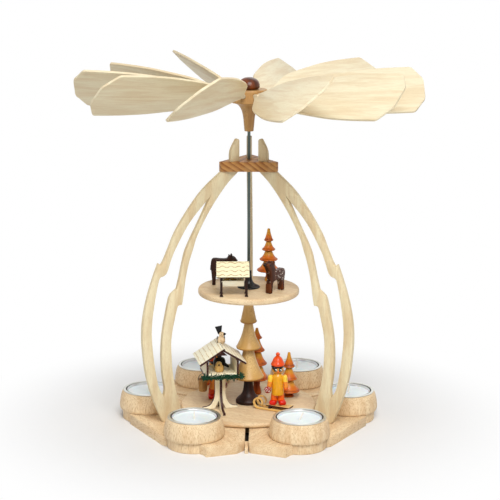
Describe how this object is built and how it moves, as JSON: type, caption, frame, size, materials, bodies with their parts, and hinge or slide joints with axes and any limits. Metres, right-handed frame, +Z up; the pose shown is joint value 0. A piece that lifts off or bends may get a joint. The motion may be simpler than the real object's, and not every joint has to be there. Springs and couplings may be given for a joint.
{
  "type": "candle carousel",
  "caption": "Table-top wooden candle carousel: a ring of tea lights warms pitched blades that turn a shaft carrying two discs of winter figures inside three double arches.",
  "frame": {"origin": "on the table, at the shaft's axis", "axes": "+Z up along the shaft, -Y towards the side seen in the picture, +X to the picture's right"},
  "size_m": [0.2958, 0.2853, 0.3149],
  "materials": {
    "beech": "satin turned beech",
    "blade_wood": "planed pale wood",
    "arch_wood": "sawn pale board",
    "plate_wood": "oiled end grain",
    "tier_wood": "turned, lightly browned",
    "cap_brown": "gloss brown stain",
    "dark_wood": "dark brown stain",
    "deer_brown": "red brown stain",
    "black_paint": "satin black paint",
    "orange_wood": "scorched orange stain",
    "cream_board": "pale board with dark stained edges",
    "green_paint": "matte green paint",
    "yellow_paint": "gloss yellow paint",
    "red_paint": "gloss red paint",
    "steel": "drawn steel rod",
    "liner": "bright pressed sheet",
    "tea_light": "white wax in a bright foil cup",
    "bearing_glass": "clear pressed glass"
  },
  "bodies": {
    "stand": {"base_plate": "beech", "glass_bearing": "bearing_glass", "base_board_left": "beech", "arch_left": "arch_wood", "base_board_right": "beech", "arch_right": "arch_wood", "base_board_back": "beech", "arch_back": "arch_wood", "top_plate": "plate_wood", "candle_cup_1": "beech", "cup_liner_1": "liner", "candle_cup_2": "beech", "cup_liner_2": "liner", "candle_cup_3": "beech", "cup_liner_3": "liner", "candle_cup_4": "beech", "cup_liner_4": "liner", "candle_cup_5": "beech", "cup_liner_5": "liner", "candle_cup_6": "beech", "cup_liner_6": "liner"},
    "rotor": {"shaft": "steel", "hub": "beech", "cap_ball": "cap_brown", "lower_disc": "beech", "tree_trunk": "dark_wood", "tree_tier_bottom": "tier_wood", "tree_tier_middle": "tier_wood", "tree_tier_top": "tier_wood", "upper_disc": "beech", "shaft_collar": "black_paint", "deer_right": "deer_brown", "deer_left": "dark_wood", "hay_rack": "cream_board", "upper_tree": "orange_wood", "feeder_stand": "cream_board", "bird_house": "cream_board", "feeder_roof": "cream_board", "garland": "green_paint", "sled": "cream_board", "child_on_sled": "yellow_paint", "child_with_bucket": "red_paint", "lower_tree_big": "orange_wood", "lower_tree_small": "orange_wood"},
    "vane_1": {"blade_1": "blade_wood"},
    "vane_2": {"blade_2": "blade_wood"},
    "vane_3": {"blade_3": "blade_wood"},
    "vane_4": {"blade_4": "blade_wood"},
    "vane_5": {"blade_5": "blade_wood"},
    "vane_6": {"blade_6": "blade_wood"},
    "vane_7": {"blade_7": "blade_wood"},
    "vane_8": {"blade_8": "blade_wood"},
    "vane_9": {"blade_9": "blade_wood"},
    "vane_10": {"blade_10": "blade_wood"},
    "light_1": {"tea_light_1": "tea_light"},
    "light_2": {"tea_light_2": "tea_light"},
    "light_3": {"tea_light_3": "tea_light"},
    "light_4": {"tea_light_4": "tea_light"},
    "light_5": {"tea_light_5": "tea_light"},
    "light_6": {"tea_light_6": "tea_light"}
  },
  "joints": [
    {"name": "rotor_spin", "type": "hinge", "parent": "stand", "child": "rotor", "pos_m": [0, 0, 0], "axis": [0, 0, 1], "continuous": true},
    {"name": "blade_1_pitch", "type": "hinge", "parent": "rotor", "child": "vane_1", "pos_m": [0.012, -0.00019, 0.28457], "axis": [0.9987, -0.016, 0.0475], "range_deg": [-25, 35]},
    {"name": "blade_2_pitch", "type": "hinge", "parent": "rotor", "child": "vane_2", "pos_m": [0.00962, 0.00717, 0.28438], "axis": [0.8014, 0.5973, 0.032], "range_deg": [-25, 35]},
    {"name": "blade_3_pitch", "type": "hinge", "parent": "rotor", "child": "vane_3", "pos_m": [0.00384, 0.01137, 0.284], "axis": [0.3203, 0.9473, 0], "range_deg": [-25, 35]},
    {"name": "blade_4_pitch", "type": "hinge", "parent": "rotor", "child": "vane_4", "pos_m": [-0.00462, 0.01107, 0.28478], "axis": [-0.3844, 0.9208, 0.0652], "range_deg": [-25, 35]},
    {"name": "blade_5_pitch", "type": "hinge", "parent": "rotor", "child": "vane_5", "pos_m": [-0.0097, 0.00707, 0.28427], "axis": [-0.808, 0.5888, 0.0225], "range_deg": [-25, 35]},
    {"name": "blade_6_pitch", "type": "hinge", "parent": "rotor", "child": "vane_6", "pos_m": [-0.012, -0.00008, 0.28457], "axis": [-0.9988, -0.007, 0.0475], "range_deg": [-25, 35]},
    {"name": "blade_7_pitch", "type": "hinge", "parent": "rotor", "child": "vane_7", "pos_m": [-0.00978, -0.00695, 0.28484], "axis": [-0.8133, -0.5776, 0.07], "range_deg": [-25, 35]},
    {"name": "blade_8_pitch", "type": "hinge", "parent": "rotor", "child": "vane_8", "pos_m": [-0.00357, -0.01146, 0.28514], "axis": [-0.296, -0.9505, 0.0948], "range_deg": [-25, 35]},
    {"name": "blade_9_pitch", "type": "hinge", "parent": "rotor", "child": "vane_9", "pos_m": [0.00414, -0.01126, 0.2852], "axis": [0.3436, -0.9338, 0.0995], "range_deg": [-25, 35]},
    {"name": "blade_10_pitch", "type": "hinge", "parent": "rotor", "child": "vane_10", "pos_m": [0.00984, -0.00687, 0.28482], "axis": [0.8178, -0.5714, 0.0682], "range_deg": [-25, 35]},
    {"name": "tea_light_1_lift", "type": "slide", "parent": "stand", "child": "light_1", "axis": [0, 0, 1], "range_m": [0, 0.03]},
    {"name": "tea_light_2_lift", "type": "slide", "parent": "stand", "child": "light_2", "axis": [0, 0, 1], "range_m": [0, 0.03]},
    {"name": "tea_light_3_lift", "type": "slide", "parent": "stand", "child": "light_3", "axis": [0, 0, 1], "range_m": [0, 0.03]},
    {"name": "tea_light_4_lift", "type": "slide", "parent": "stand", "child": "light_4", "axis": [0, 0, 1], "range_m": [0, 0.03]},
    {"name": "tea_light_5_lift", "type": "slide", "parent": "stand", "child": "light_5", "axis": [0, 0, 1], "range_m": [0, 0.03]},
    {"name": "tea_light_6_lift", "type": "slide", "parent": "stand", "child": "light_6", "axis": [0, 0, 1], "range_m": [0, 0.03]}
  ]
}
